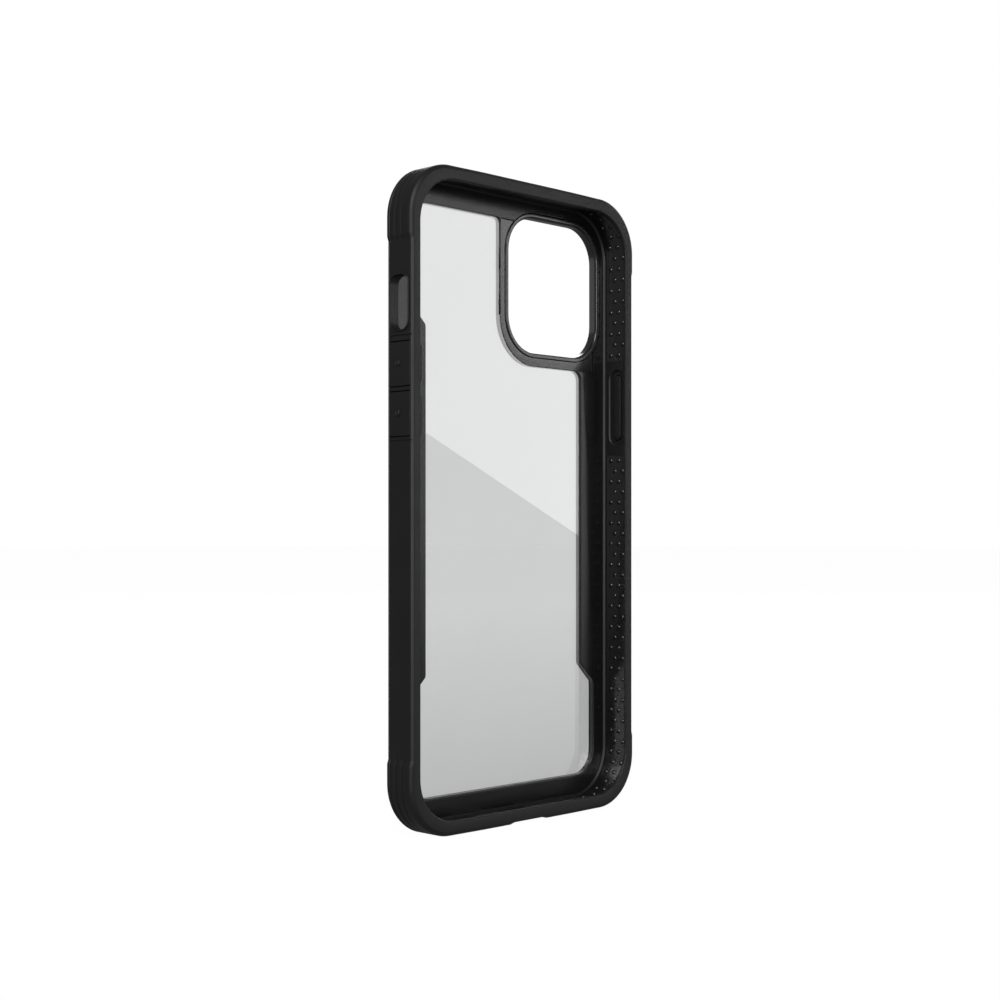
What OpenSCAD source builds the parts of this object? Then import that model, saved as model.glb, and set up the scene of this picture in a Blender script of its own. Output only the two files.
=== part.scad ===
// Rugged clear-back case for a 6.7-inch class phone.
// The case stands upright: X is its width, Z its height, and the screen
// opening faces -Y. The origin is the bottom centre of the bounding box.
// Most shapes are drawn lying on the back face and stood up by upright().

/* [Phone] */
// Width of the phone that the case holds
phone_w = 78.1; // [76:0.1:80]
// Height of the phone
phone_h = 160.8; // [158:0.1:164]
// Thickness of the phone with its running gap
phone_t = 7.5; // [7.2:0.1:8.2]
// Corner radius of the phone
phone_r = 12.65; // [11:0.05:14]

/* [Shell] */
// Gap between the phone and the soft wall
fit_gap = 0.15; // [0.1:0.05:0.3]
// Thickness of the soft side wall
wall = 2.6; // [2.4:0.1:3]
// Thickness of the front lip, along the case's depth
lip_t = 0.9; // [0.7:0.1:1.2]
// How far the front lip reaches over the phone's edge
lip_over = 0.35; // [0.2:0.05:0.6]
// How much further the front lip reaches at the top and the bottom
end_lip = 0.7; // [0.3:0.1:1]
// Depth of the back, from the rear face to the phone's floor
back_t = 2.8; // [2.6:0.1:3.4]

/* [Back] */
// Half width of the clear window in its narrow ends
window_hw = 34.7; // [33:0.1:35]
// Half height of the clear window
window_hh = 74.8; // [73:0.1:75.5]
// Corner radius of the window
window_r = 6.5; // [4:0.5:9]
// Half width of the window between the side rails
rail_x = 29.4; // [28:0.1:31]
// Half length of a side rail at its inner edge
rail_hl = 44.2; // [40:0.1:48]
// Thickness of the clear panel
panel_t = 1.4; // [1:0.1:1.6]

/* [Camera] */
// Centre of the camera cut-out, to the right of the middle
cam_x = 18.4; // [16:0.1:19]
// Centre of the camera cut-out, above the middle
cam_y = 58.3; // [54:0.1:59]
// Width of the camera cut-out
cam_w = 35; // [32:0.1:35.5]
// Height of the camera cut-out
cam_h = 35.9; // [32:0.1:36.5]
// Corner radius of the camera cut-out
cam_r = 9.5; // [7:0.5:11]
// Width of the camera ring's flange on the window side
cam_flange = 3.3; // [2.8:0.1:4]

/* [Corners] */
// How far a corner pad stands proud of the side wall
pad_proud = 0.45; // [0.3:0.05:0.7]
// Distance from the top or bottom to the end of a corner pad
pad_reach = 20; // [18:0.5:24]
// Outer radius of a corner pad
pad_r = 13.8; // [12:0.1:15.5]
// Width of a corner groove
groove_w = 0.35; // [0.3:0.05:0.5]
// Depth of a corner groove
groove_d = 0.3; // [0.2:0.05:0.4]

/* [Buttons] */
// Height of the middle of the volume-up pad
up_z = 116.3; // [115:0.1:118]
// Height of the middle of the volume-down pad
down_z = 104.1; // [103:0.1:105]
// Height of the middle of the power pad
power_z = 110; // [108:0.5:112]
// Length of a volume pad
volume_l = 10.8; // [9:0.1:11]
// Length of the power pad
power_l = 20; // [16:0.5:22]
// Travel of a button
travel = 0.5; // [0.3:0.1:0.5]
// Gap round a moving pad
pad_gap = 0.2; // [0.2:0.05:0.3]

/* [Openings] */
// Height of the middle of the mute-switch opening
mute_z = 131.3; // [130.5:0.1:132]
// Length of the mute-switch opening
mute_l = 13.4; // [12:0.1:13.6]
// Width of the mute-switch opening
mute_w = 6.5; // [6:0.1:6.6]
// Width of the charging-port opening
port_w = 12.6; // [11:0.1:14]
// Height of the charging-port opening, along the case's depth
port_h = 5.2; // [4.6:0.1:5.4]
// Length of each sound slot
slot_l = 11; // [8:0.5:13]

/* [Hidden] */
$fn = 96;
eps = 0.01;

// Outer half sizes of the wall, its height and its depth
hw = phone_w / 2 + fit_gap + wall;
hh = phone_h / 2 + fit_gap + wall;
total_h = 2 * hh;
total_t = back_t + phone_t + lip_t;
outer_r = phone_r + fit_gap + wall;
lip_z = total_t - lip_t;

// Offsets from the outer wall, negative inward, and depths from the rear face
metal_top = 2.9;
metal_skin = 1.5;
metal_bevel = 2.5;
metal_wall = 1.6;
metal_flange_in = 4.2;
metal_flange_t = 0.8;
joint_gap = 0.05;
border_out = wall - 0.5;
border_back = 0.3;
panel_front = back_t - 0.5;
flange_front = back_t - 0.35;
ring_neck = 1.5;
bevel = 0.7;
bevel_start = total_t - 0.6;

// Corner pads
pad_t = 1.2;
pad_low = 1.4;
pad_high = total_t - 3.55;
shoulder_low = total_t - 3.25;
shoulder_high = total_t - 0.6;
pad_grooves = [total_t - 5.6, total_t - 7.7];
pad_hw = hw + pad_proud;

// Dimpled cushions on the inner wall
cushion_in = 0.7;
cushion_t = 0.5;
cushion_low = back_t + 0.8;
cushion_high = lip_z - 0.4;
cushion_start_right = 40;
cushion_start_left = 58;
cushion_end_low = 13.5;
dimple_d = 1.3;
dimple_h = 0.2;
dimple_pitch = 2.9;
dimple_columns = 4;

// Buttons: pads between the metal frame and the front bevel
button_low = metal_top + pad_gap;
button_high = bevel_start - 0.4;
space_high = bevel_start - 0.1;
button_t = 1;
web_out = button_t + travel + 0.15;
plunger_w = 2.6;
plunger_mid = (back_t + lip_z) / 2 + 0.9;
nub_mid = total_t - 5.2;
nub_d = 1.3;
nub_h = 0.2;
pocket_w = 5;
pocket_depth = 0.6;

// Mute guard and its opening
guard_l = 14.4;
guard_low = metal_top + 0.1;
guard_high = 10.1;
guard_proud = 0.4;
guard_seat = 0.9;
mute_r = 2.2;
mute_mid = (guard_low + guard_high) / 2;

// Openings in the bottom wall
port_mid = (back_t + lip_z) / 2;
scoop_w = port_w + 2.4;
scoop_d = 0.7;
scoop_low = metal_top + joint_gap;
slot_w = 3.2;
slot_x = 20.5;

// ---------- helpers ----------

// Stands a shape that lies on its back, screen side up
module upright()
    translate([0, total_t / 2, total_h / 2]) rotate([90, 0, 0]) children();

module rounded(w, h, r) {
    square([w, h - 2 * r], center = true);
    square([w - 2 * r, h], center = true);
    for (x = [-1, 1], y = [-1, 1])
        translate([x * (w / 2 - r), y * (h / 2 - r)]) circle(r);
}

// A stadium of full length l along Y
module stadium(w, l) {
    square([w, l - w], center = true);
    for (y = [-1, 1]) translate([0, y * (l - w) / 2]) circle(w / 2);
}

// A straight length of a wall profile on the right side, from y0 to y1
module wall_run(at, y0, y1)
    translate([at, y1, 0]) rotate([90, 0, 0]) linear_extrude(y1 - y0) children();

// The corner of a wall profile, in the upper right quadrant
module wall_corner(half_w, half_h, r)
    translate([half_w - r, half_h - r, 0])
        rotate_extrude(angle = 90) translate([r, 0]) children();

// A closed ring: four runs and four corners of one profile
module ring(half_w, half_h, r) {
    for (side = [0, 1]) mirror([side, 0, 0]) {
        wall_run(half_w, r - half_h, half_h - r) children();
        for (end = [0, 1]) mirror([0, end, 0]) wall_corner(half_w, half_h, r) children();
    }
    for (end = [0, 1]) mirror([0, end, 0])
        rotate([0, 0, 90]) wall_run(half_h, r - half_w, half_w - r) children();
}

// Moves a shape drawn in the upper right quadrant to a corner of the case
module quadrant(left, bottom)
    mirror([left, 0, 0]) mirror([0, bottom, 0]) children();

// An outline on a side wall, at height z up the case and at its depth, cut inward
module through_side(side, z, depth_mid, from, to)
    translate([side * (hw + from), z - total_h / 2, depth_mid]) rotate([0, -side * 90, 0])
        linear_extrude(from + to) children();

// ---------- profiles: x is the offset from the outer wall, y the depth ----------

module bumper_profile() {
    low = metal_top + joint_gap;
    slope = metal_bevel + metal_wall + joint_gap;
    polygon([[0, low], [0, bevel_start], [-bevel, total_t],
        [-wall - lip_over + 0.3, total_t], [-wall - lip_over, total_t - 0.3],
        [-wall - lip_over, lip_z], [-wall, lip_z], [-wall, back_t],
        [-border_out, back_t], [-border_out, slope - border_out],
        [-metal_skin, slope - metal_skin], [-metal_skin, low]]);
}

// A bevelled band with a flat flange at the rear
module metal_profile() {
    slope = metal_bevel + metal_wall;
    polygon([[0, metal_top], [0, metal_bevel], [-metal_bevel, 0], [-metal_flange_in, 0],
        [-metal_flange_in, metal_flange_t], [metal_flange_t - slope, metal_flange_t],
        [-metal_skin, slope - metal_skin], [-metal_skin, metal_top]]);
}

// Everything outside the band's inner face, to cut the border back from it
module metal_seat_profile() {
    slope = metal_bevel + metal_wall + joint_gap;
    flange_in = metal_flange_in + joint_gap;
    flange_t = metal_flange_t + joint_gap;
    polygon([[1, -1], [-flange_in, -1], [-flange_in, flange_t], [flange_t - slope, flange_t],
        [1, slope + 1]]);
}

module pad_profile()
    polygon([[0, pad_low + pad_t], [0, pad_high], [-pad_t, pad_high], [-pad_t, pad_low]]);

// The bumper's swollen shoulder in front of a corner pad
module shoulder_profile()
    polygon([[-pad_t, shoulder_low], [0, shoulder_low], [-pad_proud - 0.1, shoulder_high],
        [-pad_t, shoulder_high]]);

// The seat of a corner pad, open to the outside
module pad_seat_profile()
    polygon([[1, pad_low + pad_t + 1], [1, shoulder_low], [-pad_t, shoulder_low],
        [-pad_t, pad_low]]);

module pad_groove_profile()
    for (y = pad_grooves) translate([-groove_d, y - groove_w / 2])
        square([groove_d + 0.5, groove_w]);

module cushion_profile(thick)
    translate([-wall + cushion_in - thick, cushion_low])
        square([thick, cushion_high - cushion_low]);

// ---------- bodies shared by several sub-parts ----------

module pad_sweep() {
    wall_run(pad_hw, hh - pad_reach, hh - pad_r) children();
    wall_corner(pad_hw, hh, pad_r) children();
}

module cushion_sweep(start) {
    wall_run(hw, start, hh - outer_r) children();
    wall_corner(hw, hh, outer_r) children();
}

// The slot for a button pad, the pocket inside the wall and the plunger's way
module button_space(side, z, length) {
    through_side(side, z, (metal_top + space_high) / 2, 1, web_out)
        square([space_high - metal_top, length + 2 * pad_gap], center = true);
    through_side(side, z, plunger_mid, 0, wall + 1)
        stadium(plunger_w + 2 * pad_gap, length - 2 + 2 * pad_gap);
    through_side(side, z, plunger_mid, -wall + pocket_depth, wall + 1)
        stadium(pocket_w, length + 0.6);
}

module button_pad(side, z, length) {
    through_side(side, z, (button_low + button_high) / 2, 0, button_t)
        square([button_high - button_low, length], center = true);
    through_side(side, z, nub_mid, nub_h, 0.5) circle(nub_d / 2);
}

module plunger(side, z, length)
    through_side(side, z, plunger_mid, -button_t, wall - 0.05)
        stadium(plunger_w, length - 2);

// The camera cut-out's outline, grown by a margin
module camera_outline(margin)
    translate([cam_x, cam_y])
        rounded(cam_w + 2 * margin, cam_h + 2 * margin, cam_r + margin);

// The flange's outline: square to the border above, round below on the left
module camera_flange() {
    left = cam_x - cam_w / 2 - cam_flange;
    low = cam_y - cam_h / 2 - cam_flange - 0.5;
    r = cam_r + cam_flange;
    translate([left, low + r]) square([window_hw - left, window_hh - low - r]);
    translate([left + r, low]) square([window_hw - left - r, r + 1]);
    translate([left + r, low + r]) circle(r);
}

// A side rail's outline, with slanted ends
module rail_outline()
    polygon([[rail_x, -rail_hl], [window_hw, -rail_hl - window_hw + rail_x],
        [window_hw, rail_hl + window_hw - rail_x], [rail_x, rail_hl]]);

// ---------- sub-parts ----------

module bumper() color("#1d1e20") upright() difference() {
    union() {
        ring(hw, hh, outer_r) bumper_profile();
        for (left = [0, 1], bottom = [0, 1])
            quadrant(left, bottom) pad_sweep() shoulder_profile();
        end_lips();
    }
    for (left = [0, 1], bottom = [0, 1])
        quadrant(left, bottom) pad_sweep() pad_seat_profile();
    quadrant(0, 0) cushion_sweep(cushion_start_right) cushion_profile(cushion_in + 0.2);
    quadrant(1, 0) cushion_sweep(cushion_start_left) cushion_profile(cushion_in + 0.2);
    for (left = [0, 1]) quadrant(left, 1)
        cushion_sweep(-cushion_end_low) cushion_profile(cushion_in + 0.2);
    button_space(-1, up_z, volume_l);
    button_space(-1, down_z, volume_l);
    button_space(1, power_z, power_l);
    through_side(-1, mute_z, mute_mid, 1, guard_seat)
        square([guard_high - guard_low, guard_l], center = true);
    through_side(-1, mute_z, mute_mid, 1, wall + 1) rounded(mute_w, mute_l, mute_r);
    bottom_openings();
}

// The front lip, wider at the top and the bottom than at the sides
module end_lips() translate([0, 0, lip_z]) linear_extrude(lip_t) difference() {
    rounded(2 * (hw - wall + 0.1), 2 * (hh - wall + 0.1), outer_r - wall + 0.1);
    rounded(2 * (hw - wall - lip_over), 2 * (hh - wall - lip_over - end_lip),
        outer_r - wall - lip_over);
}

// Charging port, its finger scoop and the two sound slots
module bottom_openings() {
    translate([0, -hh, port_mid]) rotate([90, 0, 0]) {
        translate([0, 0, -wall - 1]) linear_extrude(wall + 2)
            rotate(90) stadium(port_h, port_w);
        for (x = [-slot_x, slot_x]) translate([x, 0, -wall - 1]) linear_extrude(wall + 2)
            rotate(90) stadium(slot_w, slot_l);
    }
    translate([-scoop_w / 2, -hh - scoop_d, scoop_low])
        cube([scoop_w, 2 * scoop_d, total_t]);
}

module metal_frame() color("#2b2f38") upright() difference() {
    ring(hw, hh, outer_r) metal_profile();
    for (left = [0, 1], bottom = [0, 1])
        quadrant(left, bottom) pad_sweep() pad_seat_profile();
}

module back_border() color("#141415") upright() difference() {
    translate([0, 0, border_back]) linear_extrude(back_t - border_back)
        rounded(2 * (hw - border_out), 2 * (hh - border_out), outer_r - border_out);
    translate([0, 0, -1]) linear_extrude(back_t + 2)
        rounded(2 * window_hw, 2 * window_hh, window_r);
    ring(hw, hh, outer_r) metal_seat_profile();
    translate([0, 0, -1]) linear_extrude(back_t + 2) camera_outline(ring_neck + 0.1);
}

// Fills the window between the border, the rails and the camera ring
module clear_panel() color([0.86, 0.88, 0.9, 0.35]) upright()
    translate([0, 0, panel_front - panel_t]) linear_extrude(panel_t) difference() {
        rounded(2 * window_hw, 2 * window_hh, window_r);
        for (side = [0, 1]) mirror([side, 0, 0]) rail_outline();
        camera_flange();
        camera_outline(ring_neck);
    }

module camera_ring() color("#2e2f31") upright() {
    linear_extrude(back_t) difference() {
        camera_outline(ring_neck);
        camera_outline(0);
    }
    translate([0, 0, border_back]) linear_extrude(flange_front - border_back) difference() {
        intersection() {
            camera_flange();
            rounded(2 * window_hw, 2 * window_hh, window_r);
        }
        camera_outline(ring_neck - eps);
    }
}

// A raised ledge beside the window, flush with the border
module rail()
    translate([0, 0, border_back]) linear_extrude(back_t - border_back) rail_outline();

module left_rail() color("#1a1a1b") upright() mirror([1, 0, 0]) rail();

module right_rail() color("#1a1a1b") upright() difference() {
    rail();
    translate([0, 0, -1]) linear_extrude(back_t + 2) camera_flange();
    translate([0, 0, -1]) linear_extrude(back_t + 2) camera_outline(ring_neck + 0.1);
}

module corner_pad(left, bottom) color("#202124") upright() quadrant(left, bottom)
    difference() {
        pad_sweep() pad_profile();
        pad_sweep() pad_groove_profile();
    }

// A cushion plate with staggered dimples along its straight run
module cushion(left, bottom, start) color("#17181a") upright() quadrant(left, bottom) {
    cushion_sweep(start) cushion_profile(cushion_t);
    column_step = (cushion_high - cushion_low) / dimple_columns;
    run = hh - outer_r - start;
    for (row = [0 : floor(run / dimple_pitch) - 1], column = [0 : dimple_columns - 1])
        if ((row + column) % 2 == 0)
            translate([hw - wall + cushion_in - cushion_t + eps,
                start + (row + 0.6) * dimple_pitch, cushion_low + (column + 0.5) * column_step])
                rotate([0, -90, 0]) cylinder(h = dimple_h, d = dimple_d, $fn = 24);
}

module mute_guard() color("#202124") upright() difference() {
    through_side(-1, mute_z, mute_mid, guard_proud, guard_seat)
        square([guard_high - guard_low, guard_l], center = true);
    through_side(-1, mute_z, mute_mid, 1, wall + 1) rounded(mute_w, mute_l, mute_r);
}

module volume_up_button() color("#202124") upright() button_pad(-1, up_z, volume_l);
module volume_up_plunger() color("#303236") upright() plunger(-1, up_z, volume_l);
module volume_down_button() color("#202124") upright() button_pad(-1, down_z, volume_l);
module volume_down_plunger() color("#303236") upright() plunger(-1, down_z, volume_l);
module power_button() color("#202124") upright() button_pad(1, power_z, power_l);
module power_plunger() color("#303236") upright() plunger(1, power_z, power_l);

bumper();
metal_frame();
back_border();
clear_panel();
camera_ring();
left_rail();
right_rail();
corner_pad(1, 0);  // corner_pad_top_left
corner_pad(0, 0);  // corner_pad_top_right
corner_pad(1, 1);  // corner_pad_bottom_left
corner_pad(0, 1);  // corner_pad_bottom_right
cushion(1, 0, cushion_start_left);  // cushion_top_left
cushion(0, 0, cushion_start_right);  // cushion_top_right
cushion(1, 1, -cushion_end_low);  // cushion_bottom_left
cushion(0, 1, -cushion_end_low);  // cushion_bottom_right
mute_guard();
volume_up_button();
volume_up_plunger();
volume_down_button();
volume_down_plunger();
power_button();
power_plunger();
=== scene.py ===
import math

import bmesh
import bpy
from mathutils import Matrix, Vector
from mathutils.geometry import tessellate_polygon


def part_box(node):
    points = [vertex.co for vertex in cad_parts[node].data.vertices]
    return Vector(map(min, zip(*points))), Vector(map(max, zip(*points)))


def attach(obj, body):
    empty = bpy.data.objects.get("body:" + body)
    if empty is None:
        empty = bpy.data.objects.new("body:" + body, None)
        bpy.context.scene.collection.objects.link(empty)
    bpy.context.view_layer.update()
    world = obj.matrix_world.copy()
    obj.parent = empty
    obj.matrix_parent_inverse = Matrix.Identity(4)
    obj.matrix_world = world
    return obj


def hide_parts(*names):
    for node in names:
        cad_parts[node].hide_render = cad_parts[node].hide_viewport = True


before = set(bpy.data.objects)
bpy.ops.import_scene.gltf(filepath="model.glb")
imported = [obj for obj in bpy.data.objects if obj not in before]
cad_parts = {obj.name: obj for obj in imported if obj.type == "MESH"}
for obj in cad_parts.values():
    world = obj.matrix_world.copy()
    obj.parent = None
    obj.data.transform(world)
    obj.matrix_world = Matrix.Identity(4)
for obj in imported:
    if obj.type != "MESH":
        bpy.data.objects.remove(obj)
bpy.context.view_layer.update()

MM = 0.001


def box_low(node, axis):
    """Where a CAD node's box starts along an axis of the row frame, in millimetres."""
    return getattr(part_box(node)[0], axis) / MM


def box_high(node, axis):
    """Where a CAD node's box ends along an axis of the row frame, in millimetres."""
    return getattr(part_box(node)[1], axis) / MM


def box_middle(node, axis):
    low, high = (getattr(corner, axis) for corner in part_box(node))
    return (low + high) / 2 / MM


def box_height(node):
    low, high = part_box(node)
    return (high.z - low.z) / MM


# ---------- sizes in millimetres: the driving ones come from the frame ----------
HALF_W = box_high("metal_frame", "x")
HALF_H = box_high("metal_frame", "z") / 2
DEPTH = 2 * box_high("metal_frame", "y")
PROUD = box_high("corner_pad_top_right", "x") - HALF_W
PAD_END = box_low("corner_pad_top_right", "z") - HALF_H
LEDGE = DEPTH / 2 - box_low("back_border", "y")
PANEL_FRONT = DEPTH / 2 - box_low("clear_panel", "y")
PANEL_BACK = DEPTH / 2 - box_high("clear_panel", "y")
RING_HIGH = DEPTH / 2 - box_low("camera_ring", "y")
BORDER_BACK = DEPTH / 2 - box_high("left_rail", "y")
WINDOW_W = box_high("clear_panel", "x")
WINDOW_H = box_high("clear_panel", "z") - HALF_H
RAIL_X = box_low("right_rail", "x")
VOLUME_L = box_height("volume_up_button")
GUARD_Z = box_middle("mute_guard", "z")
GUARD_DEPTH = DEPTH / 2 - box_middle("mute_guard", "y")

# Each button: its body, its side wall, the height of its middle and its length
BUTTONS = [("volume_up", -1, box_middle("volume_up_button", "z"), VOLUME_L),
           ("volume_down", -1, box_middle("volume_down_button", "z"), VOLUME_L),
           ("power", 1, box_middle("power_button", "z"), box_height("power_button"))]

OUTER_R = 15.4
PAD_R = 13.8
WALL = 2.6
LIP_OVER = 0.35
END_LIP = 0.7
LIP_BACK = DEPTH - 0.9
METAL_TOP = 2.9
SEAM = 0.05
PAD_RAMP = 1.7
RAIL_HL = 44.2
WINDOW_R = 6.5
CAM_X, CAM_Y, CAM_W, CAM_H, CAM_R = 18.4, 58.3, 35.0, 35.9, 9.5
RING_NECK = 1.5
FLANGE_LEFT = CAM_X - CAM_W / 2 - 3.3
FLANGE_LOW = CAM_Y - CAM_H / 2 - 3.8
FLANGE_FRONT = LEDGE - 0.35
PLUNGER_Z = 7.45
ARC_STEPS = 22
ARC_X, ARC_Y = HALF_W - OUTER_R, HALF_H - OUTER_R
SEAT_RUN = 0.12
SLOT_TOP, BUTTON_TOP, GROOVE_TOP = 10.35, 10.29, 10.5
BUTTON_GAP = 0.08
GUARD_L, GUARD_W, GUARD_R = 14.3, 7.0, 2.4
MUTE_L, MUTE_W, GUARD_MUTE_W, MUTE_R = 13.4, 6.5, 6.4, 2.2
PORT_W, PORT_H, PORT_R = 12.6, 5.2, 2.59
SOUND_X, SOUND_L, SOUND_W, SOUND_R = 20.5, 11, 3.2, 1.59
LINER_SUNK = 0.2
LINER_BACK = -0.45


def stand(x, y, z):
    """A point drawn on the lying case, from its middle and its rear face, in the row frame."""
    return Vector((x, DEPTH / 2 - z, HALF_H + y)) * MM


def smooth(t):
    t = min(max(t, 0.0), 1.0)
    return t * t * (3 - 2 * t)


# ---------- outlines ----------

def fillet(corners, steps=5):
    """Rounds a closed outline of (x, y, radius) corners, each giving steps + 1 points."""
    points = []
    for i, (x, y, r) in enumerate(corners):
        tip = Vector((x, y))
        to_last = Vector(corners[i - 1][:2]) - tip
        to_next = Vector(corners[(i + 1) % len(corners)][:2]) - tip
        half = to_last.angle(to_next) / 2
        if r <= 0 or half > math.pi / 2 - 0.01:
            points += [(x, y)] * (steps + 1)
            continue
        r = min(r, 0.49 * min(to_last.length, to_next.length) * math.tan(half))
        centre = tip + (to_last.normalized() + to_next.normalized()).normalized() * r / math.sin(half)
        start = tip + to_last.normalized() * r / math.tan(half) - centre
        end = tip + to_next.normalized() * r / math.tan(half) - centre
        turn = start.angle(end)
        for k in range(steps + 1):
            t = k / steps
            arm = (start * math.sin((1 - t) * turn) + end * math.sin(t * turn)) / math.sin(turn)
            points.append(tuple(centre + arm))
    return points


def rounded_box(cx, cy, w, h, r, steps=8):
    """A rounded rectangle, counter-clockwise."""
    w, h = w / 2, h / 2
    return fillet([(cx - w, cy - h, r), (cx + w, cy - h, r), (cx + w, cy + h, r), (cx - w, cy + h, r)],
                  steps)


def area(loop):
    return sum(a[0] * b[1] - b[0] * a[1] for a, b in zip(loop, loop[1:] + loop[:1])) / 2


def tidy_loop(loop):
    """Drops points that fall on the one before them."""
    return [p for i, p in enumerate(loop) if math.dist(p, loop[i - 1]) > 1e-4]


def grown(loop, margin):
    """An outline moved outward by margin at every point, along its mitred normals."""
    out = []
    sign = 1 if area(loop) > 0 else -1
    for i, p in enumerate(loop):
        a = (Vector(p) - Vector(loop[i - 1])).normalized()
        b = (Vector(loop[(i + 1) % len(loop)]) - Vector(p)).normalized()
        normal = Vector((a.y + b.y, -a.x - b.x))
        if normal.length < 1e-6:
            out.append(p)
            continue
        normal.normalize()
        stretch = 1 / max(0.5, normal.dot(Vector((a.y, -a.x))))
        out.append(tuple(Vector(p) + normal * margin * stretch * sign))
    return out


def window_outline():
    """The clear window: narrowed by the rails and cut by the camera ring's flange."""
    slant = WINDOW_W - RAIL_X
    return tidy_loop(fillet([
        (-WINDOW_W, -WINDOW_H, WINDOW_R), (WINDOW_W, -WINDOW_H, WINDOW_R),
        (WINDOW_W, -RAIL_HL - slant, 1.2), (RAIL_X, -RAIL_HL, 1.2),
        (RAIL_X, FLANGE_LOW, 2.6), (FLANGE_LEFT, FLANGE_LOW, 12.8), (FLANGE_LEFT, WINDOW_H, 1.4),
        (-WINDOW_W, WINDOW_H, WINDOW_R), (-WINDOW_W, RAIL_HL + slant, 1.2),
        (-RAIL_X, RAIL_HL, 1.2), (-RAIL_X, -RAIL_HL, 1.2), (-WINDOW_W, -RAIL_HL - slant, 1.2)], 10))


def flange_outline(margin=0.0):
    """The camera ring's flange, square above and to the right, and round below on the left."""
    left, low = FLANGE_LEFT - margin, FLANGE_LOW - margin
    return tidy_loop(fillet([(left, low, 12.8 + margin), (WINDOW_W, low, 0), (WINDOW_W, WINDOW_H, 0),
                             (left, WINDOW_H, 0)], 14))


def camera_outline(margin):
    return tidy_loop(rounded_box(CAM_X, CAM_Y, CAM_W + 2 * margin, CAM_H + 2 * margin, CAM_R + margin, 14))


# ---------- meshes ----------

PIECES = []


def to_mesh(bm, name):
    bmesh.ops.remove_doubles(bm, verts=bm.verts, dist=2e-6)
    bmesh.ops.recalc_face_normals(bm, faces=bm.faces)
    mesh = bpy.data.meshes.new(name)
    bm.to_mesh(mesh)
    bm.free()
    return mesh


def link(name, mesh):
    obj = bpy.data.objects.new(name, mesh)
    bpy.context.scene.collection.objects.link(obj)
    return obj


def carve(obj, *cutters, operation="DIFFERENCE"):
    """Cuts closed meshes out of a piece, exactly, and deletes them."""
    for cutter in cutters:
        cut = obj.modifiers.new("cut", "BOOLEAN")
        cut.operation = operation
        cut.solver = "EXACT"
        cut.object = cutter
    bpy.context.view_layer.update()
    result = bpy.data.meshes.new_from_object(obj.evaluated_get(bpy.context.evaluated_depsgraph_get()))
    obj.modifiers.clear()
    obj.data = result
    bm = bmesh.new()
    bm.from_mesh(result)
    bmesh.ops.remove_doubles(bm, verts=bm.verts, dist=2e-6)
    bmesh.ops.dissolve_degenerate(bm, edges=bm.edges, dist=1e-6)
    bm.to_mesh(result)
    bm.free()
    for cutter in cutters:
        bpy.data.objects.remove(cutter)
    return obj


def finish_piece(obj, material, slot, body, *nodes, sharp=32):
    """Shades a piece, gives it its material, and ties it to its body and CAD nodes; the slot it is given is
    not used.
    """
    mesh = obj.data
    mesh.materials.clear()
    mesh.materials.append(material)
    mesh.polygons.foreach_set("material_index", [0] * len(mesh.polygons))
    mesh.polygons.foreach_set("use_smooth", [True] * len(mesh.polygons))
    mesh.set_sharp_from_angle(angle=math.radians(sharp))
    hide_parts(*nodes)
    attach(obj, body)
    PIECES.append(obj)
    return obj


def bridge(bm, a, b):
    """Quads between two rings of vertices."""
    for j in range(len(a)):
        k = (j + 1) % len(a)
        bm.faces.new((a[j], a[k], b[k], b[j]))


def loft(bm, rings, closed=False):
    """Faces between rings of points with equal counts, closed end to end or capped."""
    verts = [[bm.verts.new(p) for p in ring] for ring in rings]
    for a, b in zip(verts, verts[1:] + (verts[:1] if closed else [])):
        bridge(bm, a, b)
    if not closed:
        bm.faces.new(verts[0])
        bm.faces.new(verts[-1])


def plate(name, loops):
    """A flat plate. Each loop is (outline, levels): outer first, then holes; levels are (z, inset)."""
    bm = bmesh.new()
    lows, highs = [], []
    for index, (outline, levels) in enumerate(loops):
        outline = outline if (area(outline) > 0) == (index == 0) else outline[::-1]
        side = -1 if index == 0 else 1
        rows = [[bm.verts.new(stand(*p, z)) for p in grown(outline, side * inset)] for z, inset in levels]
        for a, b in zip(rows, rows[1:]):
            bridge(bm, a, b)
        lows.append(rows[0])
        highs.append(rows[-1])
    for cap in (lows, highs):
        flat = [v for loop in cap for v in loop]
        for triangle in tessellate_polygon([[v.co.xzy for v in loop] for loop in cap]):
            bm.faces.new([flat[i] for i in triangle])
    return link(name, to_mesh(bm, name))


def edge_levels(low, high, r, steps=4):
    """Levels of a plain wall from low to high, with its top edge rounded by r."""
    arc = [math.pi / 2 * k / steps for k in range(steps + 1)]
    return [(low, 0.0)] + [(high - r + r * math.sin(a), r - r * math.cos(a)) for a in arc]


def prism(outline, low, high):
    """A closed cutter along the case's depth."""
    bm = bmesh.new()
    loft(bm, [[stand(*p, low) for p in outline], [stand(*p, high) for p in outline]])
    return link("cutter", to_mesh(bm, "cutter"))


def wall_levels(outline, levels, place):
    """A closed form through a wall: levels are (offset from the outer wall, margin)."""
    bm = bmesh.new()
    loft(bm, [[place(p, o) for p in grown(outline, margin)] for o, margin in levels])
    return to_mesh(bm, "cutter")


def on_side(side):
    """Places (height from the bottom, depth) outlines on a side wall."""
    return lambda p, o: stand(side * (HALF_W + o), p[0] - HALF_H, p[1])


def on_bottom(p, o):
    """Places (x, depth) outlines on the bottom wall."""
    return stand(p[0], -HALF_H - o, p[1])


def flared(low, high, r):
    """Levels of a cutter whose mouth at high is rounded by r."""
    return edge_levels(low, high, r, 5) + [(high + 2, r)]


def domed(low, high, r):
    """Levels of a block whose outer edge at high is rounded by r."""
    return [(z, -inset) for z, inset in edge_levels(low, high, r)]


def mirror_signs(left, bottom):
    return (-1 if left else 1), (-1 if bottom else 1)


# ---------- stations round the case ----------

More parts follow.
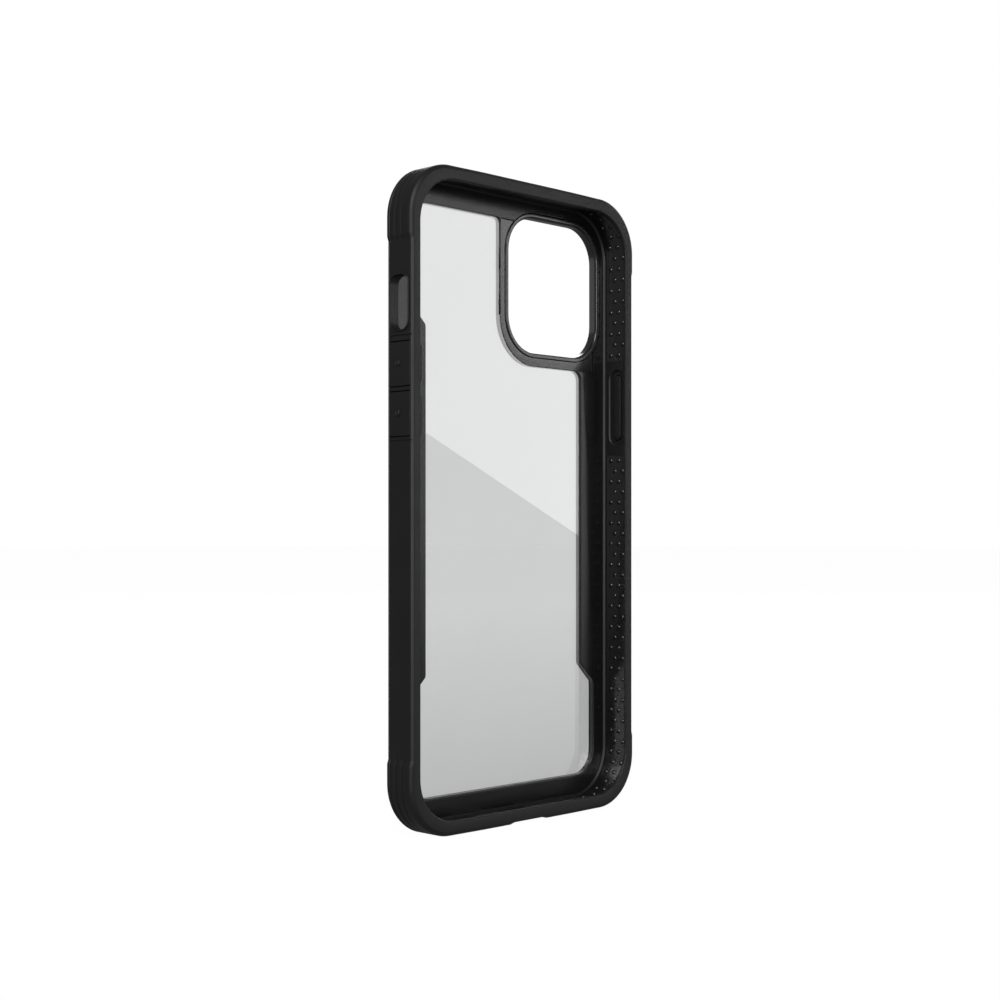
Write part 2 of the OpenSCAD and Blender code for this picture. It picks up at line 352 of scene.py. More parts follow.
def quadrant_stations():
    """Stations from the right side to the top, each (x, y, normal x, normal y, shift x, shift y, shoulder,
    seat, end). The shift carries the outer surface out to the fuller corner pads, and end widens the lip."""
    rows = []
    fuller = OUTER_R - PAD_R
    marks = [0, 12, 24, 36, 48, 58, PAD_END - 0.3, PAD_END]
    marks += [PAD_END + PAD_RAMP * t for t in (0.12, 0.25, 0.4, 0.55, 0.7, 0.85, 1)] + [ARC_Y - 1.5]
    for y in marks:
        t = (y - PAD_END) / PAD_RAMP
        rows.append((HALF_W, y, 1, 0, PROUD * smooth(t), 0, smooth(t), min(max(t / SEAT_RUN, 0), 1), 0))
    for k in range(ARC_STEPS + 1):
        a = math.pi / 2 * k / ARC_STEPS
        c, s = math.cos(a), math.sin(a)
        rows.append((ARC_X + OUTER_R * c, ARC_Y + OUTER_R * s, c, s, PROUD + fuller * (1 - c),
                     fuller * (1 - s), 1, 0 if k == ARC_STEPS else 1, smooth(k / ARC_STEPS)))
    for t in (0.93, 0.86, 0.79, 0.72, 0.65, 0.58, 0.5, 0.25, 0):
        rows.append((ARC_X * t, HALF_H, 0, 1, (PROUD + fuller) * smooth(t), 0, smooth((t - 0.5) / 0.5), 0, 1))
    return rows


def ring_stations():
    """The stations the whole way round, by mirroring the quadrant."""
    first = quadrant_stations()
    flip_x = [(-x, y, -nx, ny, -sx, sy, *rest) for x, y, nx, ny, sx, sy, *rest in first[::-1]]
    half = first + flip_x[1:]
    flip_y = [(x, -y, nx, -ny, sx, -sy, *rest) for x, y, nx, ny, sx, sy, *rest in half[::-1]]
    return half + flip_y[1:-1]


def placed(station, offset, z, shifted, extra):
    """A point of a section at a station; extra moves it further in at the top and bottom ends."""
    x, y, nx, ny, sx, sy = station[:6]
    inward = extra * station[8] * (1 if y > 0 else -1)
    return stand(x + nx * offset + sx * shifted, y + ny * offset + sy * shifted - inward, z)


def mixed(a, b, t):
    return a + (b - a) * t


def bumper_section(shoulder, seat):
    """(offset, depth, shifted, extra) points, straight where shoulder is 0, swollen where it is 1."""
    low, slope = METAL_TOP + SEAM, 4.1 + SEAM
    hidden = -1.15 * seat
    outer = [
        (hidden, low, 0.1), (hidden, 7.9, 0), (0, 7.95, mixed(0, 0.12, shoulder)),
        (0, 10.6, mixed(0.22, 1.0, shoulder)),
        (mixed(-0.7, -0.95, shoulder), DEPTH, mixed(0.35, 0.7, shoulder))]
    inner = [
        (-WALL - LIP_OVER, DEPTH, 0.6), (-WALL - LIP_OVER, LIP_BACK - 0.05, 0.08),
        (-WALL, LIP_BACK - 0.05, 0.05),
        (-WALL, LEDGE + 0.45, 0.08), (-WALL - 0.45, LEDGE, 0), (-2.1, LEDGE, 0),
        (-2.1, slope - 2.1, 0), (-1.5, slope - 1.5, 0), (-1.5, low, 0)]
    per_corner = 6
    points = fillet(outer + inner, per_corner - 1)
    outer_end = per_corner * len(outer)
    lip_end = outer_end + 2 * per_corner
    return [(o, z, 1.0 if i < outer_end else 0.0, END_LIP if outer_end <= i < lip_end else 0.0)
            for i, (o, z) in enumerate(points)]


def metal_section(seat):
    cut = 1.2 * seat
    points = fillet([(-cut, METAL_TOP, 0.12), (-cut, mixed(2.5, 1.4, seat), mixed(0.25, 0.02, seat)),
                     (-1.1, 1.4, 0), (-2.5, 0, 0.3), (-4.2, 0, 0.15), (-4.2, 0.8, 0), (-3.3, 0.8, 0),
                     (-1.5, 2.6, 0), (-1.5, METAL_TOP, 0)], 4)
    return [(o, z, 0.0, 0.0) for o, z in points]


def swept_ring(name, section):
    """A closed ring of a section that may change from station to station."""
    bm = bmesh.new()
    rings = [[placed(s, *point) for point in section(s[6], s[7])] for s in ring_stations()]
    loft(bm, rings, closed=True)
    bmesh.ops.remove_doubles(bm, verts=bm.verts, dist=2e-6)
    bmesh.ops.dissolve_degenerate(bm, edges=bm.edges, dist=1e-6)
    return link(name, to_mesh(bm, name))


# ---------- materials ----------

def new_material(name):
    material = bpy.data.materials.new(name)
    material.use_nodes = True
    tree = material.node_tree
    return material, tree, tree.nodes["Principled BSDF"]


def object_coords(tree):
    return tree.nodes.new("ShaderNodeTexCoord").outputs["Object"]


def noise(tree, scale, detail=3.0):
    node = tree.nodes.new("ShaderNodeTexNoise")
    node.inputs["Scale"].default_value = scale
    node.inputs["Detail"].default_value = detail
    tree.links.new(object_coords(tree), node.inputs["Vector"])
    return node.outputs["Fac"]


def ramp(tree, value, low, high):
    """Spreads a value from low to high, each a colour."""
    node = tree.nodes.new("ShaderNodeValToRGB")
    node.color_ramp.elements[0].color = (*low, 1)
    node.color_ramp.elements[1].color = (*high, 1)
    node.color_ramp.elements[0].position = 0.3
    node.color_ramp.elements[1].position = 0.7
    tree.links.new(value, node.inputs["Fac"])
    return node.outputs["Color"]


def spread(tree, value, low, high):
    node = tree.nodes.new("ShaderNodeMapRange")
    node.inputs["From Min"].default_value = 0.3
    node.inputs["From Max"].default_value = 0.7
    node.inputs["To Min"].default_value = low
    node.inputs["To Max"].default_value = high
    tree.links.new(value, node.inputs["Value"])
    return node.outputs["Result"]


def bump(tree, value, strength, distance):
    node = tree.nodes.new("ShaderNodeBump")
    node.inputs["Strength"].default_value = strength
    node.inputs["Distance"].default_value = distance
    tree.links.new(value, node.inputs["Height"])
    return node.outputs["Normal"]


def moulded(name, dark, light, rough_low, rough_high, grain, depth, level=0.5, coat=0.0):
    """Moulded rubber or plastic: a fine grain, with a faint cloud in colour and roughness."""
    material, tree, shader = new_material(name)
    cloud = noise(tree, 60, 4)
    fine = noise(tree, grain, 2)
    tree.links.new(ramp(tree, cloud, dark, light), shader.inputs["Base Color"])
    tree.links.new(spread(tree, cloud, rough_low, rough_high), shader.inputs["Roughness"])
    tree.links.new(bump(tree, fine, 0.35, depth), shader.inputs["Normal"])
    shader.inputs["Specular IOR Level"].default_value = level
    shader.inputs["Coat Weight"].default_value = coat
    shader.inputs["Coat Roughness"].default_value = 0.12
    return material


def anodised():
    """Dark anodised aluminium: bead-blasted grain, faintly blue."""
    material, tree, shader = new_material("anodised_metal")
    cloud = noise(tree, 40, 4)
    fine = noise(tree, 9000, 1)
    tree.links.new(ramp(tree, cloud, (0.075, 0.08, 0.105), (0.095, 0.1, 0.13)), shader.inputs["Base Color"])
    tree.links.new(spread(tree, cloud, 0.3, 0.38), shader.inputs["Roughness"])
    tree.links.new(bump(tree, fine, 0.3, 0.00001), shader.inputs["Normal"])
    shader.inputs["Metallic"].default_value = 1.0
    return material


def clear():
    """Lightly smoked clear plastic, polished, with a faint cloud in its tint."""
    material, tree, shader = new_material("clear_plastic")
    tint = ramp(tree, noise(tree, 30, 2), (0.54, 0.543, 0.546), (0.55, 0.553, 0.556))
    tree.links.new(tint, shader.inputs["Base Color"])
    shader.inputs["Transmission Weight"].default_value = 1.0
    shader.inputs["IOR"].default_value = 1.5
    shader.inputs["Roughness"].default_value = 0.0
    shader.inputs["Coat Weight"].default_value = 1.0
    shader.inputs["Coat IOR"].default_value = 1.9
    shader.inputs["Coat Roughness"].default_value = 0.0
    return material


SATIN = moulded("satin_rubber", (0.010, 0.010, 0.0105), (0.013, 0.013, 0.0135), 0.40, 0.48, 4200, 0.000025)
PAD = moulded("pad_rubber", (0.010, 0.010, 0.0105), (0.0135, 0.0135, 0.014), 0.40, 0.47, 4200, 0.000025)
LINER = moulded("liner_rubber", (0.004, 0.004, 0.004), (0.005, 0.005, 0.0052), 0.26, 0.32, 2500, 0.00001,
                coat=0.7)
BORDER = moulded("border_plastic", (0.008, 0.008, 0.0082), (0.010, 0.010, 0.0102), 0.22, 0.27, 3600, 0.00001)
GLOSS = moulded("ring_plastic", (0.012, 0.012, 0.0122), (0.015, 0.015, 0.0153), 0.24, 0.28, 3000, 0.00001,
                level=0.8, coat=0.4)
PLUNGER = moulded("plunger_plastic", (0.012, 0.012, 0.0122), (0.015, 0.015, 0.0153), 0.34, 0.4, 3000, 0.00001)
METAL = anodised()
CLEAR = clear()


# ---------- bumper and metal band ----------

def side_outline(height, depth, length, width, r):
    return tidy_loop(rounded_box(height, depth, length, width, r, 6))


def side_cutter(side, outline, levels):
    return link("cutter", wall_levels(outline, levels, on_side(side)))


def cushion_recess(left, bottom, start, low, high):
    """A band cut into the inner wall from start, up the side and round the corner."""
    rows = [(HALF_W, start, 1, 0), (HALF_W, ARC_Y, 1, 0)]
    for k in range(1, 2 * ARC_STEPS + 1):
        a = math.pi / 2 * k / 2 / ARC_STEPS
        c, s = math.cos(a), math.sin(a)
        rows.append((ARC_X + OUTER_R * c, ARC_Y + OUTER_R * s, c, s))
    sx, sy = mirror_signs(left, bottom)
    section = tidy_loop(fillet([(-3.4, low, 0), (-1.9, low, 0.12), (-1.9, high, 0.12), (-3.4, high, 0)], 3))
    bm = bmesh.new()
    loft(bm, [[stand(sx * (x + nx * o), sy * (y + ny * o), z) for o, z in section] for x, y, nx, ny in rows])
    return link("cutter", to_mesh(bm, "cutter"))


def button_cutters(side, height, length):
    """The pad's slot, and the pocket and way of its plunger inside."""
    slot_mid, slot_w = (METAL_TOP + SLOT_TOP) / 2, SLOT_TOP - METAL_TOP
    return [
        side_cutter(side, side_outline(height, slot_mid, length + 0.5, slot_w, 0.3), [(-1.65, 0), (2, 0)]),
        side_cutter(side, side_outline(height, PLUNGER_Z, length - 1.6, 3, 1.49), [(-4, 0), (-1, 0)]),
        side_cutter(side, side_outline(height, PLUNGER_Z, length + 0.6, 5, 2.49),
                    [(-4, 0.35), (-WALL - 0.01, 0.35), (-WALL + 0.1, 0.22), (-WALL + 0.25, 0.05), (-2, 0)])]


def groove_cutter(side, height):
    """A fine line across a side wall, beyond a button's end."""
    outline = side_outline(height, (METAL_TOP + GROOVE_TOP) / 2, 0.3, GROOVE_TOP - METAL_TOP + 0.6, 0.1)
    return side_cutter(side, outline, [(-0.32, 0), (0.5, 0)])


def guard_outline():
    return side_outline(GUARD_Z, GUARD_DEPTH, GUARD_L, GUARD_W, GUARD_R)


def mute_outline(width):
    return side_outline(GUARD_Z, GUARD_DEPTH, MUTE_L, width, MUTE_R)


CUSHION_LOW, CUSHION_HIGH = LEDGE + 0.8, LIP_BACK - 0.3
CUSHIONS = [("cushion_top_right", 0, 0, 40.0), ("cushion_top_left", 1, 0, 58.0),
            ("cushion_bottom_right", 0, 1, -13.5), ("cushion_bottom_left", 1, 1, -13.5)]
PORT_Z = (LEDGE + LIP_BACK) / 2


def scoop():
    """The finger scoop at the charging port: a shallow smooth dip in the bottom edge."""
    outline = tidy_loop(fillet([(-7.3, -1, 0), (-7.0, 0, 1.2), (-5.9, 0.55, 1.5), (5.9, 0.55, 1.5),
                                (7.0, 0, 1.2), (7.3, -1, 0)], 6))
    bm = bmesh.new()
    loft(bm, [[stand(x, -HALF_H + y, z) for x, y in outline] for z in (METAL_TOP + SEAM, DEPTH + 1)])
    return link("cutter", to_mesh(bm, "cutter"))


def bottom_opening(x, width, height, r, steps, mouth):
    """A round-ended opening through the bottom wall, its mouth rounded from that far off the wall."""
    outline = tidy_loop(rounded_box(x, PORT_Z, width, height, r, steps))
    return link("cutter", wall_levels(outline, flared(-4, mouth, 0.35), on_bottom))


def bumper():
    obj = swept_ring("bumper_shell", bumper_section)
    cutters = [cushion_recess(left, bottom, start, CUSHION_LOW - 0.1, CUSHION_HIGH + 0.1)
               for _, left, bottom, start in CUSHIONS]
    for _, side, height, length in BUTTONS:
        cutters += button_cutters(side, height, length)
    (_, _, up, up_l), (_, _, down, down_l), (_, _, power, power_l) = BUTTONS
    cutters += [groove_cutter(-1, up + up_l / 2 + 1.5), groove_cutter(-1, down - down_l / 2 - 1.1)]
    cutters += [groove_cutter(1, power + s * (power_l / 2 + 1.4)) for s in (-1, 1)]
    cutters.append(side_cutter(-1, guard_outline(), [(-0.95, 0), (2, 0)]))
    cutters.append(side_cutter(-1, mute_outline(MUTE_W), [(-4, 0), (2, 0)]))
    cutters.append(scoop())
    cutters.append(bottom_opening(0, PORT_W, PORT_H, PORT_R, 10, -0.45))
    for x in (-SOUND_X, SOUND_X):
        cutters.append(bottom_opening(x, SOUND_L, SOUND_W, SOUND_R, 8, 0.12))
    carve(obj, *cutters)
    return finish_piece(obj, SATIN, "soft_bumper", "case", "bumper")


def metal_frame():
    obj = swept_ring("metal_band", lambda shoulder, seat: metal_section(seat))
    return finish_piece(obj, METAL, "anodised_metal", "case", "metal_frame")


# ---------- corner pads ----------

def rib(z_from, z_to, depth, count=8):
    """A crowned rib between two grooves, as (offset, depth) points."""
    points = []
    for k in range(count + 1):
        t = k / count
        z = mixed(z_from, z_to, t)
        points.append((-depth * abs(2 * t - 1) ** 4, z))
    return points


def pad_section():
    """Three crowned ribs with two grooves between them, and a foot that wraps the metal band's edge."""
    half = 0.17
    grooves = (DEPTH - 7.7, DEPTH - 5.6)
    points = [(-1.15, 1.42), (-1.12, 1.42), (-0.2, 2.35)]
    edges = [2.55, grooves[0] - half, grooves[0] + half, grooves[1] - half, grooves[1] + half, 7.68]
    for i in (0, 2, 4):
        points += rib(edges[i], edges[i + 1], 0.16)
        if i < 4:
            points += [(-0.34, edges[i + 1] + 0.06), (-0.34, edges[i + 2] - 0.06)]
    return points + [(-0.4, 7.72), (-1.15, 7.72)]


def corner_pad(name, left, bottom):
    rows = []
    for x, y, nx, ny, shift_x, shift_y, *_ in quadrant_stations():
        if y >= PAD_END - 1e-6 and (nx > 1e-6 or abs(x - ARC_X) < 1e-6):
            rows.append((x + shift_x, y + shift_y, nx, ny))
    sx, sy = mirror_signs(left, bottom)
    section = pad_section()
    bm = bmesh.new()
    rings = []
    for x, y, nx, ny in rows:
        rings.append([stand(sx * (x + nx * o), sy * (y + ny * o), z) for o, z in section])
    loft(bm, rings)
    obj = link(name + "_rubber", to_mesh(bm, name))
    finish_piece(obj, PAD, "soft_pad", "case", name)


# ---------- cushions with domes ----------

COLUMN_Z = [DEPTH - d for d in (6.06, 4.66, 3.26, 1.86)]
ROW_PITCH = 2.9
DOME = [(0.66, 0.0), (0.62, 0.11), (0.50, 0.23), (0.28, 0.31)]
DOME_TOP = 0.34
SEGMENTS = 16


def dome_cell(bm, at, edge, middle_s, middle_z):
    """A dome in the middle of a cell, joined to the eight vertices of the cell's edge."""
    rings = []
    for radius, height in DOME:
        turns = [2 * math.pi * k / SEGMENTS for k in range(SEGMENTS)]
        circle = [(middle_s + radius * math.cos(a), middle_z + radius * math.sin(a)) for a in turns]
        rings.append([bm.verts.new(at(s, z, height)) for s, z in circle])
    top = bm.verts.new(at(middle_s, middle_z, DOME_TOP))
    for k in range(SEGMENTS):
        n = (k + 1) % SEGMENTS
        for a, b in zip(rings, rings[1:]):
            bm.faces.new((a[k], a[n], b[n], b[k]))
        bm.faces.new((rings[-1][k], rings[-1][n], top))
    foot = rings[0]
    for j in range(len(edge)):
        n = (j + 1) % len(edge)
        k = 2 * j
        m, e = k + 1, (k + 2) % SEGMENTS
        bm.faces.new((edge[j], foot[m], foot[k]))
        bm.faces.new((edge[j], edge[n], foot[m]))
        bm.faces.new((edge[n], foot[e], foot[m]))


def cushion_back(bm, at, lengths, total, levels):
    """The plate's back and long edges in strips, and its two ends, so that no face spans a bend."""
    low, high, back = CUSHION_LOW, CUSHION_HIGH, LINER_BACK
    for s0, s1 in zip(lengths, lengths[1:]):
        for rim in ([(s0, low, back), (s1, low, back), (s1, high, back), (s0, high, back)],
                    [(s0, low, 0), (s1, low, 0), (s1, low, back), (s0, low, back)],
                    [(s0, high, 0), (s1, high, 0), (s1, high, back), (s0, high, back)]):
            bm.faces.new([bm.verts.new(at(*corner)) for corner in rim])
    for end in (0, total):
        front = [(end, z, 0) for z in levels]
        bm.faces.new([bm.verts.new(at(*corner)) for corner in front + [(end, high, back), (end, low, back)]])


def cushion(name, left, bottom, start):
    """A thin plate on the inner wall, tiled with staggered domes, up the side and round the corner."""
    sx, sy = mirror_signs(left, bottom)
    straight = ARC_Y - start
    face_r = OUTER_R - WALL + LINER_SUNK
    total = straight + face_r * math.pi / 2
    rows = math.floor(total / ROW_PITCH)
    pitch = total / rows
    column_edges = [CUSHION_LOW] + [(a + b) / 2 for a, b in zip(COLUMN_Z, COLUMN_Z[1:])] + [CUSHION_HIGH]

    def at(s, z, height):
        """The point at length s along the plate's face, raised towards the cavity."""
        if s <= straight:
            return stand(sx * (HALF_W - WALL + LINER_SUNK - height), sy * (start + s), z)
        a = (s - straight) / face_r
        r = face_r - height
        return stand(sx * (ARC_X + r * math.cos(a)), sy * (ARC_Y + r * math.sin(a)), z)

    bm = bmesh.new()
    for row in range(rows):
        for column, zm in enumerate(COLUMN_Z):
            s0, s1 = row * pitch, (row + 1) * pitch
            z0, z1 = column_edges[column], column_edges[column + 1]
            sm = (s0 + s1) / 2
            border = [(s1, zm), (s1, z1), (sm, z1), (s0, z1), (s0, zm), (s0, z0), (sm, z0), (s1, z0)]
            edge = [bm.verts.new(at(s, z, 0)) for s, z in border]
            if (row + column) % 2:
                bm.faces.new(edge)
            else:
                dome_cell(bm, at, edge, sm, zm)
    lengths = [pitch * k / 2 for k in range(2 * rows + 1)]
    cushion_back(bm, at, lengths, total, sorted(column_edges + COLUMN_Z))
    obj = link(name + "_liner", to_mesh(bm, name))
    return finish_piece(obj, LINER, "soft_liner", "case", name, sharp=50)


# ---------- border, rails, panel and camera ring ----------

def case_outline(offset):
    return tidy_loop(rounded_box(0, 0, 2 * (HALF_W + offset), 2 * (HALF_H + offset), OUTER_R + offset, 20))


def backing():
    """The border and the rails as one flush plate, with the flange's place cut out of it."""
    outer = [(BORDER_BACK, 2.15), (0.85, 2.15), (0.85, 1.2), (LEDGE - 0.75, 0.0), (LEDGE, 0.0)]
    obj = plate("backing", [(case_outline(-2.1), outer),
                            (window_outline(), edge_levels(BORDER_BACK, LEDGE, 0.18))])
    return carve(obj, prism(flange_outline(), -1, 5), prism(camera_outline(RING_NECK + 0.02), -1, 5))


def border_and_rails():
    whole = backing()
    ledges = []
    for side, name in ((-1, "left_rail"), (1, "right_rail")):
        x0, x1 = sorted((side * (RAIL_X - 3), side * WINDOW_W))
        reach = RAIL_HL + WINDOW_W - RAIL_X
        box = [(x0, -reach), (x1, -reach), (x1, reach), (x0, reach)]
        rail = link(name + "_ledge", whole.data.copy())
        carve(rail, prism(box, -1, 5), operation="INTERSECT")
        carve(whole, prism(box, -1, 5))
        ledges.append(finish_piece(rail, BORDER, "gloss_plastic", "case", name))
    whole.name = "border_ledge"
    ledges.append(finish_piece(whole, BORDER, "border_plastic", "case", "back_border"))
    return ledges


def clear_panel():
    obj = plate("clear_sheet", [(grown(window_outline(), 0.12),
                                 edge_levels(PANEL_BACK, PANEL_FRONT, 0.001, 1))])
    return finish_piece(obj, CLEAR, "clear_plastic", "case", "clear_panel")


def camera_ring():
    """A raised neck round the camera opening, with a lower flange on the window side."""
    section = tidy_loop(fillet([(0, 0, 0.25), (RING_NECK, 0, 0.25), (RING_NECK, FLANGE_FRONT - 0.02, 0.05),
                                (RING_NECK - 0.15, RING_HIGH, 0.3), (0.35, RING_HIGH, 0.5),
                                (0, RING_HIGH - 0.75, 0.3)], 5))
    base = tidy_loop(rounded_box(CAM_X, CAM_Y, CAM_W, CAM_H, CAM_R, 16))
    bm = bmesh.new()
    rings = [[stand(*p, z) for p in grown(base, margin)] for margin, z in section]
    loft(bm, rings, closed=True)
    neck = link("camera_surround", to_mesh(bm, "camera_surround"))
    flange = plate("flange", [(flange_outline(), edge_levels(BORDER_BACK, FLANGE_FRONT, 0.22))])
    carve(flange, prism(camera_outline(RING_NECK - 0.3), -1, 5))
    carve(neck, flange, operation="UNION")
    return finish_piece(neck, GLOSS, "gloss_plastic", "case", "camera_ring")


# ---------- mute guard and buttons ----------

def mute_guard():
    obj = link("mute_surround", wall_levels(guard_outline(), domed(-0.9, 0.4, 0.35), on_side(-1)))
    carve(obj, side_cutter(-1, mute_outline(GUARD_MUTE_W), flared(-4, 0.42, 0.2)))
    return finish_piece(obj, PAD, "soft_pad", "case", "mute_guard")


def button(name, side, height, length):
    """A flush pad with rounded edges and a small raised tactile mark, and its plunger behind."""
    mid, width = (METAL_TOP + BUTTON_GAP + BUTTON_TOP) / 2, BUTTON_TOP - METAL_TOP - BUTTON_GAP
    obj = link(name + "_pad", wall_levels(side_outline(height, mid, length, width, 0.25),
                                          domed(-1.0, 0.0, 0.1), on_side(side)))
    mark_levels = [(-0.2, 0.0), (0.0, 0.0), (0.15, -0.03), (0.26, -0.12), (0.28, -0.2), (0.2, -0.3),
                   (0.2, -0.34), (0.28, -0.4), (0.3, -0.5), (0.3, -0.62)]
    mark = side_cutter(side, side_outline(height + 0.3, DEPTH - 5.2, 1.9, 1.5, 0.7), mark_levels)
    carve(obj, mark, operation="UNION")
    finish_piece(obj, SATIN, "button_rubber", name, name + "_button")
    stem_levels = [(-1.0, 0), (-2.3, 0), (-2.45, -0.05), (-2.52, -0.15), (-2.55, -0.3)]
    stem = link(name + "_stem", wall_levels(side_outline(height, PLUNGER_Z, length - 2, 2.6, 1.29),
                                            stem_levels, on_side(side)))
    finish_piece(stem, PLUNGER, "plunger_plastic", name, name + "_plunger")


bumper()
band = metal_frame()
for vertical, at_bottom in (("top", 0), ("bottom", 1)):
    for lateral, on_left in (("left", 1), ("right", 0)):
        corner_pad(f"corner_pad_{vertical}_{lateral}", on_left, at_bottom)
liners = [cushion(*sizes) for sizes in CUSHIONS]
panel = clear_panel()
ledges = border_and_rails() + [camera_ring()]
mute_guard()
for sizes in BUTTONS:
    button(*sizes)


# ---------- camera ----------

def make_camera():
    data = bpy.data.cameras.new("camera")
    camera = bpy.data.objects.new("camera", data)
    bpy.context.scene.collection.objects.link(camera)
    camera.location = (-0.30457, -0.29047, 0.07561)
    camera.rotation_euler = (math.radians(90), 0, math.radians(-45.82))
    data.lens = 57.7
    data.sensor_width = 36
    data.shift_y = 0.0309
    data.clip_end = 100
    bpy.context.scene.camera = camera


make_camera()


# ---------- stage and lights ----------

def flat_emission(name, strength, thin=False):
    """A plain glow. A thin one is also transparent, so that cards behind it show through."""
    material = bpy.data.materials.new(name)
    material.use_nodes = True
    tree = material.node_tree
    tree.nodes.clear()
    out = tree.nodes.new("ShaderNodeOutputMaterial")
    glow = tree.nodes.new("ShaderNodeEmission")
    glow.inputs["Color"].default_value = (1, 1, 1, 1)
    glow.inputs["Strength"].default_value = strength
    surface = glow.outputs["Emission"]
    if thin:
        both = tree.nodes.new("ShaderNodeAddShader")
        tree.links.new(surface, both.inputs[0])
        tree.links.new(tree.nodes.new("ShaderNodeBsdfTransparent").outputs["BSDF"], both.inputs[1])
        surface = both.outputs["Shader"]
    tree.links.new(surface, out.inputs["Surface"])
    return material


def pale_floor():
    """A pale floor that glows almost white by itself, so hardly any shadow shows on it."""
    material = bpy.data.materials.new("pale_floor")
    material.use_nodes = True
    tree = material.node_tree
    shader = tree.nodes["Principled BSDF"]
    shader.inputs["Base Color"].default_value = (0.05, 0.05, 0.05, 1)
    shader.inputs["Roughness"].default_value = 0.9
    shader.inputs["Specular IOR Level"].default_value = 0.0
    shader.inputs["Emission Color"].default_value = (1, 1, 1, 1)
    shader.inputs["Emission Strength"].default_value = 0.98
    return material


def quad(name, corners, material):
    mesh = bpy.data.meshes.new(name)
    mesh.from_pydata([Vector(c) for c in corners], [], [(0, 1, 2, 3)])
    mesh.materials.append(material)
    return link(name, mesh)


def only_seen(obj):
    """The floor and the backdrop are seen directly and through the clear panel, but light nothing."""
    obj.visible_diffuse = False
    obj.visible_glossy = False
    obj.visible_shadow = False


def make_stage():
    floor = quad("floor", [(-6, -6, 0), (6, -6, 0), (6, 6, 0), (-6, 6, 0)], pale_floor())
    bm = bmesh.new()
    bmesh.ops.create_icosphere(bm, subdivisions=4, radius=8)
    dome = link("backdrop", to_mesh(bm, "backdrop"))
    dome.data.materials.append(flat_emission("backdrop_white", 1.0))
    for obj in (floor, dome):
        only_seen(obj)


def area_light(name, place, target, size, power, shape="RECTANGLE", spread_angle=180):
    data = bpy.data.lights.new(name, "AREA")
    data.shape = shape
    data.size, data.size_y = size
    data.energy = power
    data.spread = math.radians(spread_angle)
    light = bpy.data.objects.new(name, data)
    bpy.context.scene.collection.objects.link(light)
    light.location = place
    light.rotation_euler = (Vector(target) - Vector(place)).to_track_quat("-Z", "Y").to_euler()
    light.visible_camera = False
    light.visible_transmission = False
    return light


def acts_on(source, *pieces):
    """Makes a card or a light act on some pieces only."""
    receivers = bpy.data.collections.new(source.name + "_receivers")
    for piece in pieces:
        receivers.objects.link(piece)
    source.light_linking.receiver_collection = receivers


def fading(name, strength):
    """A glow that fades to nothing at the card's lower edge."""
    material = flat_emission(name, strength, thin=True)
    tree = material.node_tree
    across = tree.nodes.new("ShaderNodeTexCoord")
    axes = tree.nodes.new("ShaderNodeSeparateXYZ")
    fade = tree.nodes.new("ShaderNodeMapRange")
    fade.inputs["From Max"].default_value = 0.25
    fade.inputs["To Max"].default_value = strength
    tree.links.new(across.outputs["Generated"], axes.inputs["Vector"])
    tree.links.new(axes.outputs["Z"], fade.inputs["Value"])
    tree.links.new(fade.outputs["Result"], tree.nodes["Emission"].inputs["Strength"])
    return material


def gloss_card(name, material, low_left, low_right, rise, *pieces):
    """A card with a straight lower edge that only some pieces mirror."""
    a, b = Vector(low_left), Vector(low_right)
    up = Vector((0, 0, rise))
    card = quad(name, [a, b, b + up, a + up], material)
    card.visible_camera = False
    card.visible_diffuse = False
    card.visible_shadow = False
    card.visible_transmission = False
    acts_on(card, *pieces)


def mirror_point(place, reach):
    """Where a ray from the camera, mirrored in the panel's front at (x, z), gets to at reach."""
    x, z = place
    eye = bpy.context.scene.camera.location
    plane = (DEPTH / 2 - PANEL_FRONT) * MM
    image = Vector((eye.x, 2 * plane - eye.y, eye.z))
    point = Vector((x * MM, plane, z * MM))
    return image + (point - image) * reach


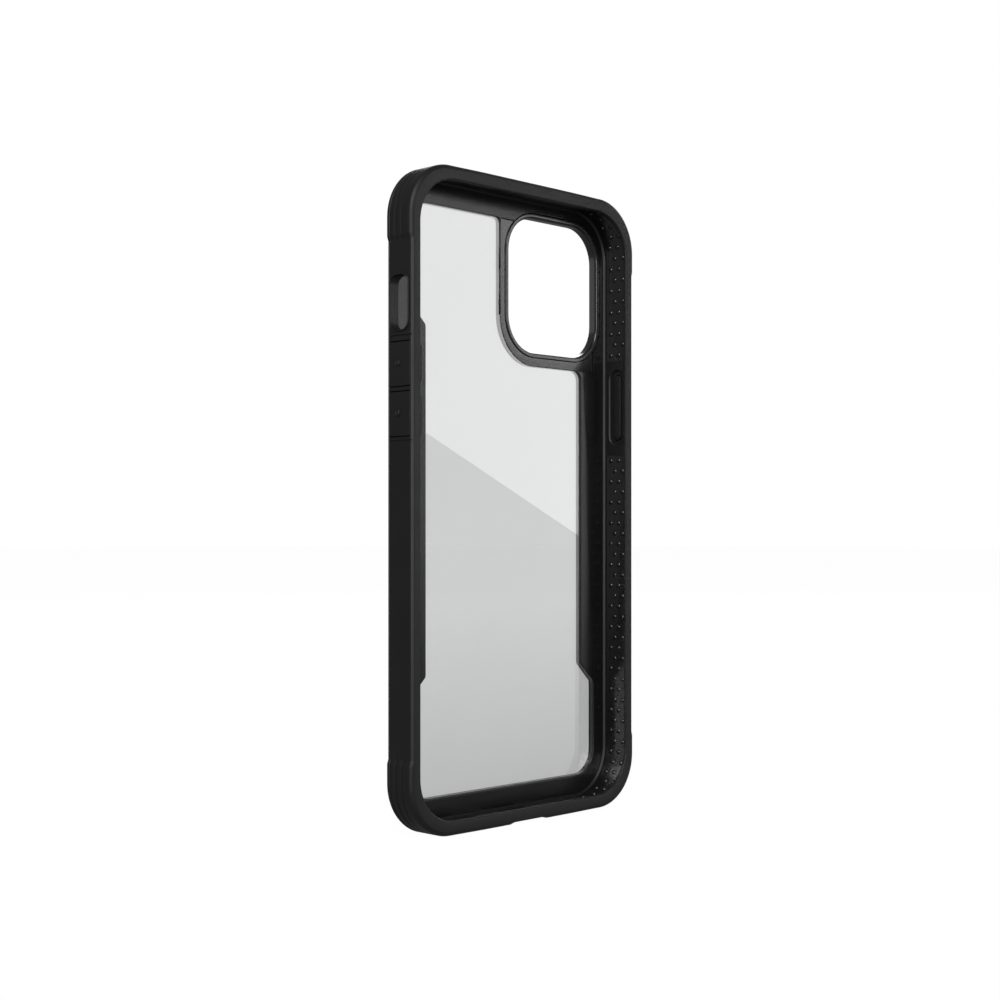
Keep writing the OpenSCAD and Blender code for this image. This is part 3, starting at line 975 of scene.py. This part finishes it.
# The slanted gloss line crosses the panel from its left rail to its right one, at these (x, z) places
GLOSS_LINE = [(-30.7, 101.1), (34.5, 71.8)]


def line_card(name, material, reach, *pieces):
    """A gloss card whose lower edge is mirrored as the slanted line, and runs on past both its ends."""
    left, right = (mirror_point(place, reach) for place in GLOSS_LINE)
    along = right - left
    gloss_card(name, material, left - along * 1.5, right + along * 1.5, 1.6, *pieces)


def make_lights():
    world = bpy.data.worlds.new("world")
    bpy.context.scene.world = world
    world.use_nodes = True
    world.node_tree.nodes["Background"].inputs["Color"].default_value = (1, 1, 1, 1)
    world.node_tree.nodes["Background"].inputs["Strength"].default_value = 0.15
    target = (0, 0, HALF_H * MM)
    area_light("key", (-0.75, -0.75, 0.9), target, (0.9, 0.5), 6)
    solids = [piece for piece in PIECES if piece is not panel and piece not in liners]
    acts_on(area_light("fill", (0.95, -1.15, 0.3), target, (0.8, 0.8), 2.2), *solids)
    acts_on(area_light("bevel_light", (-1.0, -0.95, 0.2), target, (0.5, 0.5), 3.6), *solids)
    area_light("side", (-1.2, 0.25, 0.3), target, (0.6, 0.9), 0.5)
    acts_on(area_light("right", (1.4, 0.15, 0.5), target, (0.8, 0.8), 3), *solids)
    acts_on(area_light("back", (-0.3, 1.6, 0.7), target, (1.0, 1.0), 6), band)
    acts_on(area_light("back_left", (-0.9, 1.0, 0.3), target, (0.8, 0.8), 0.9), band, ledges[-1])
    area_light("rim", (1.0, 0.9, 0.8), target, (0.6, 0.6), 3)
    acts_on(area_light("glint", (-0.85, -0.6, 0.55), target, (0.5, 0.5), 9), *liners)
    # Each card stands at its own reach, because cards that coincide hide one another
    line_card("gloss_card", flat_emission("gloss_white", 1.06, True), 3.0, panel)
    line_card("ledge_card", flat_emission("ledge_white", 0.42, True), 3.1, *ledges)
    left, right, top = (mirror_point(place, 3.3) for place in ((-60, 8), (60, 8), (0, 200)))
    gloss_card("fading_card", fading("fading_white", 0.85), left, right, top.z - left.z, panel)


make_stage()
make_lights()
bpy.context.scene.view_settings.view_transform = "Standard"
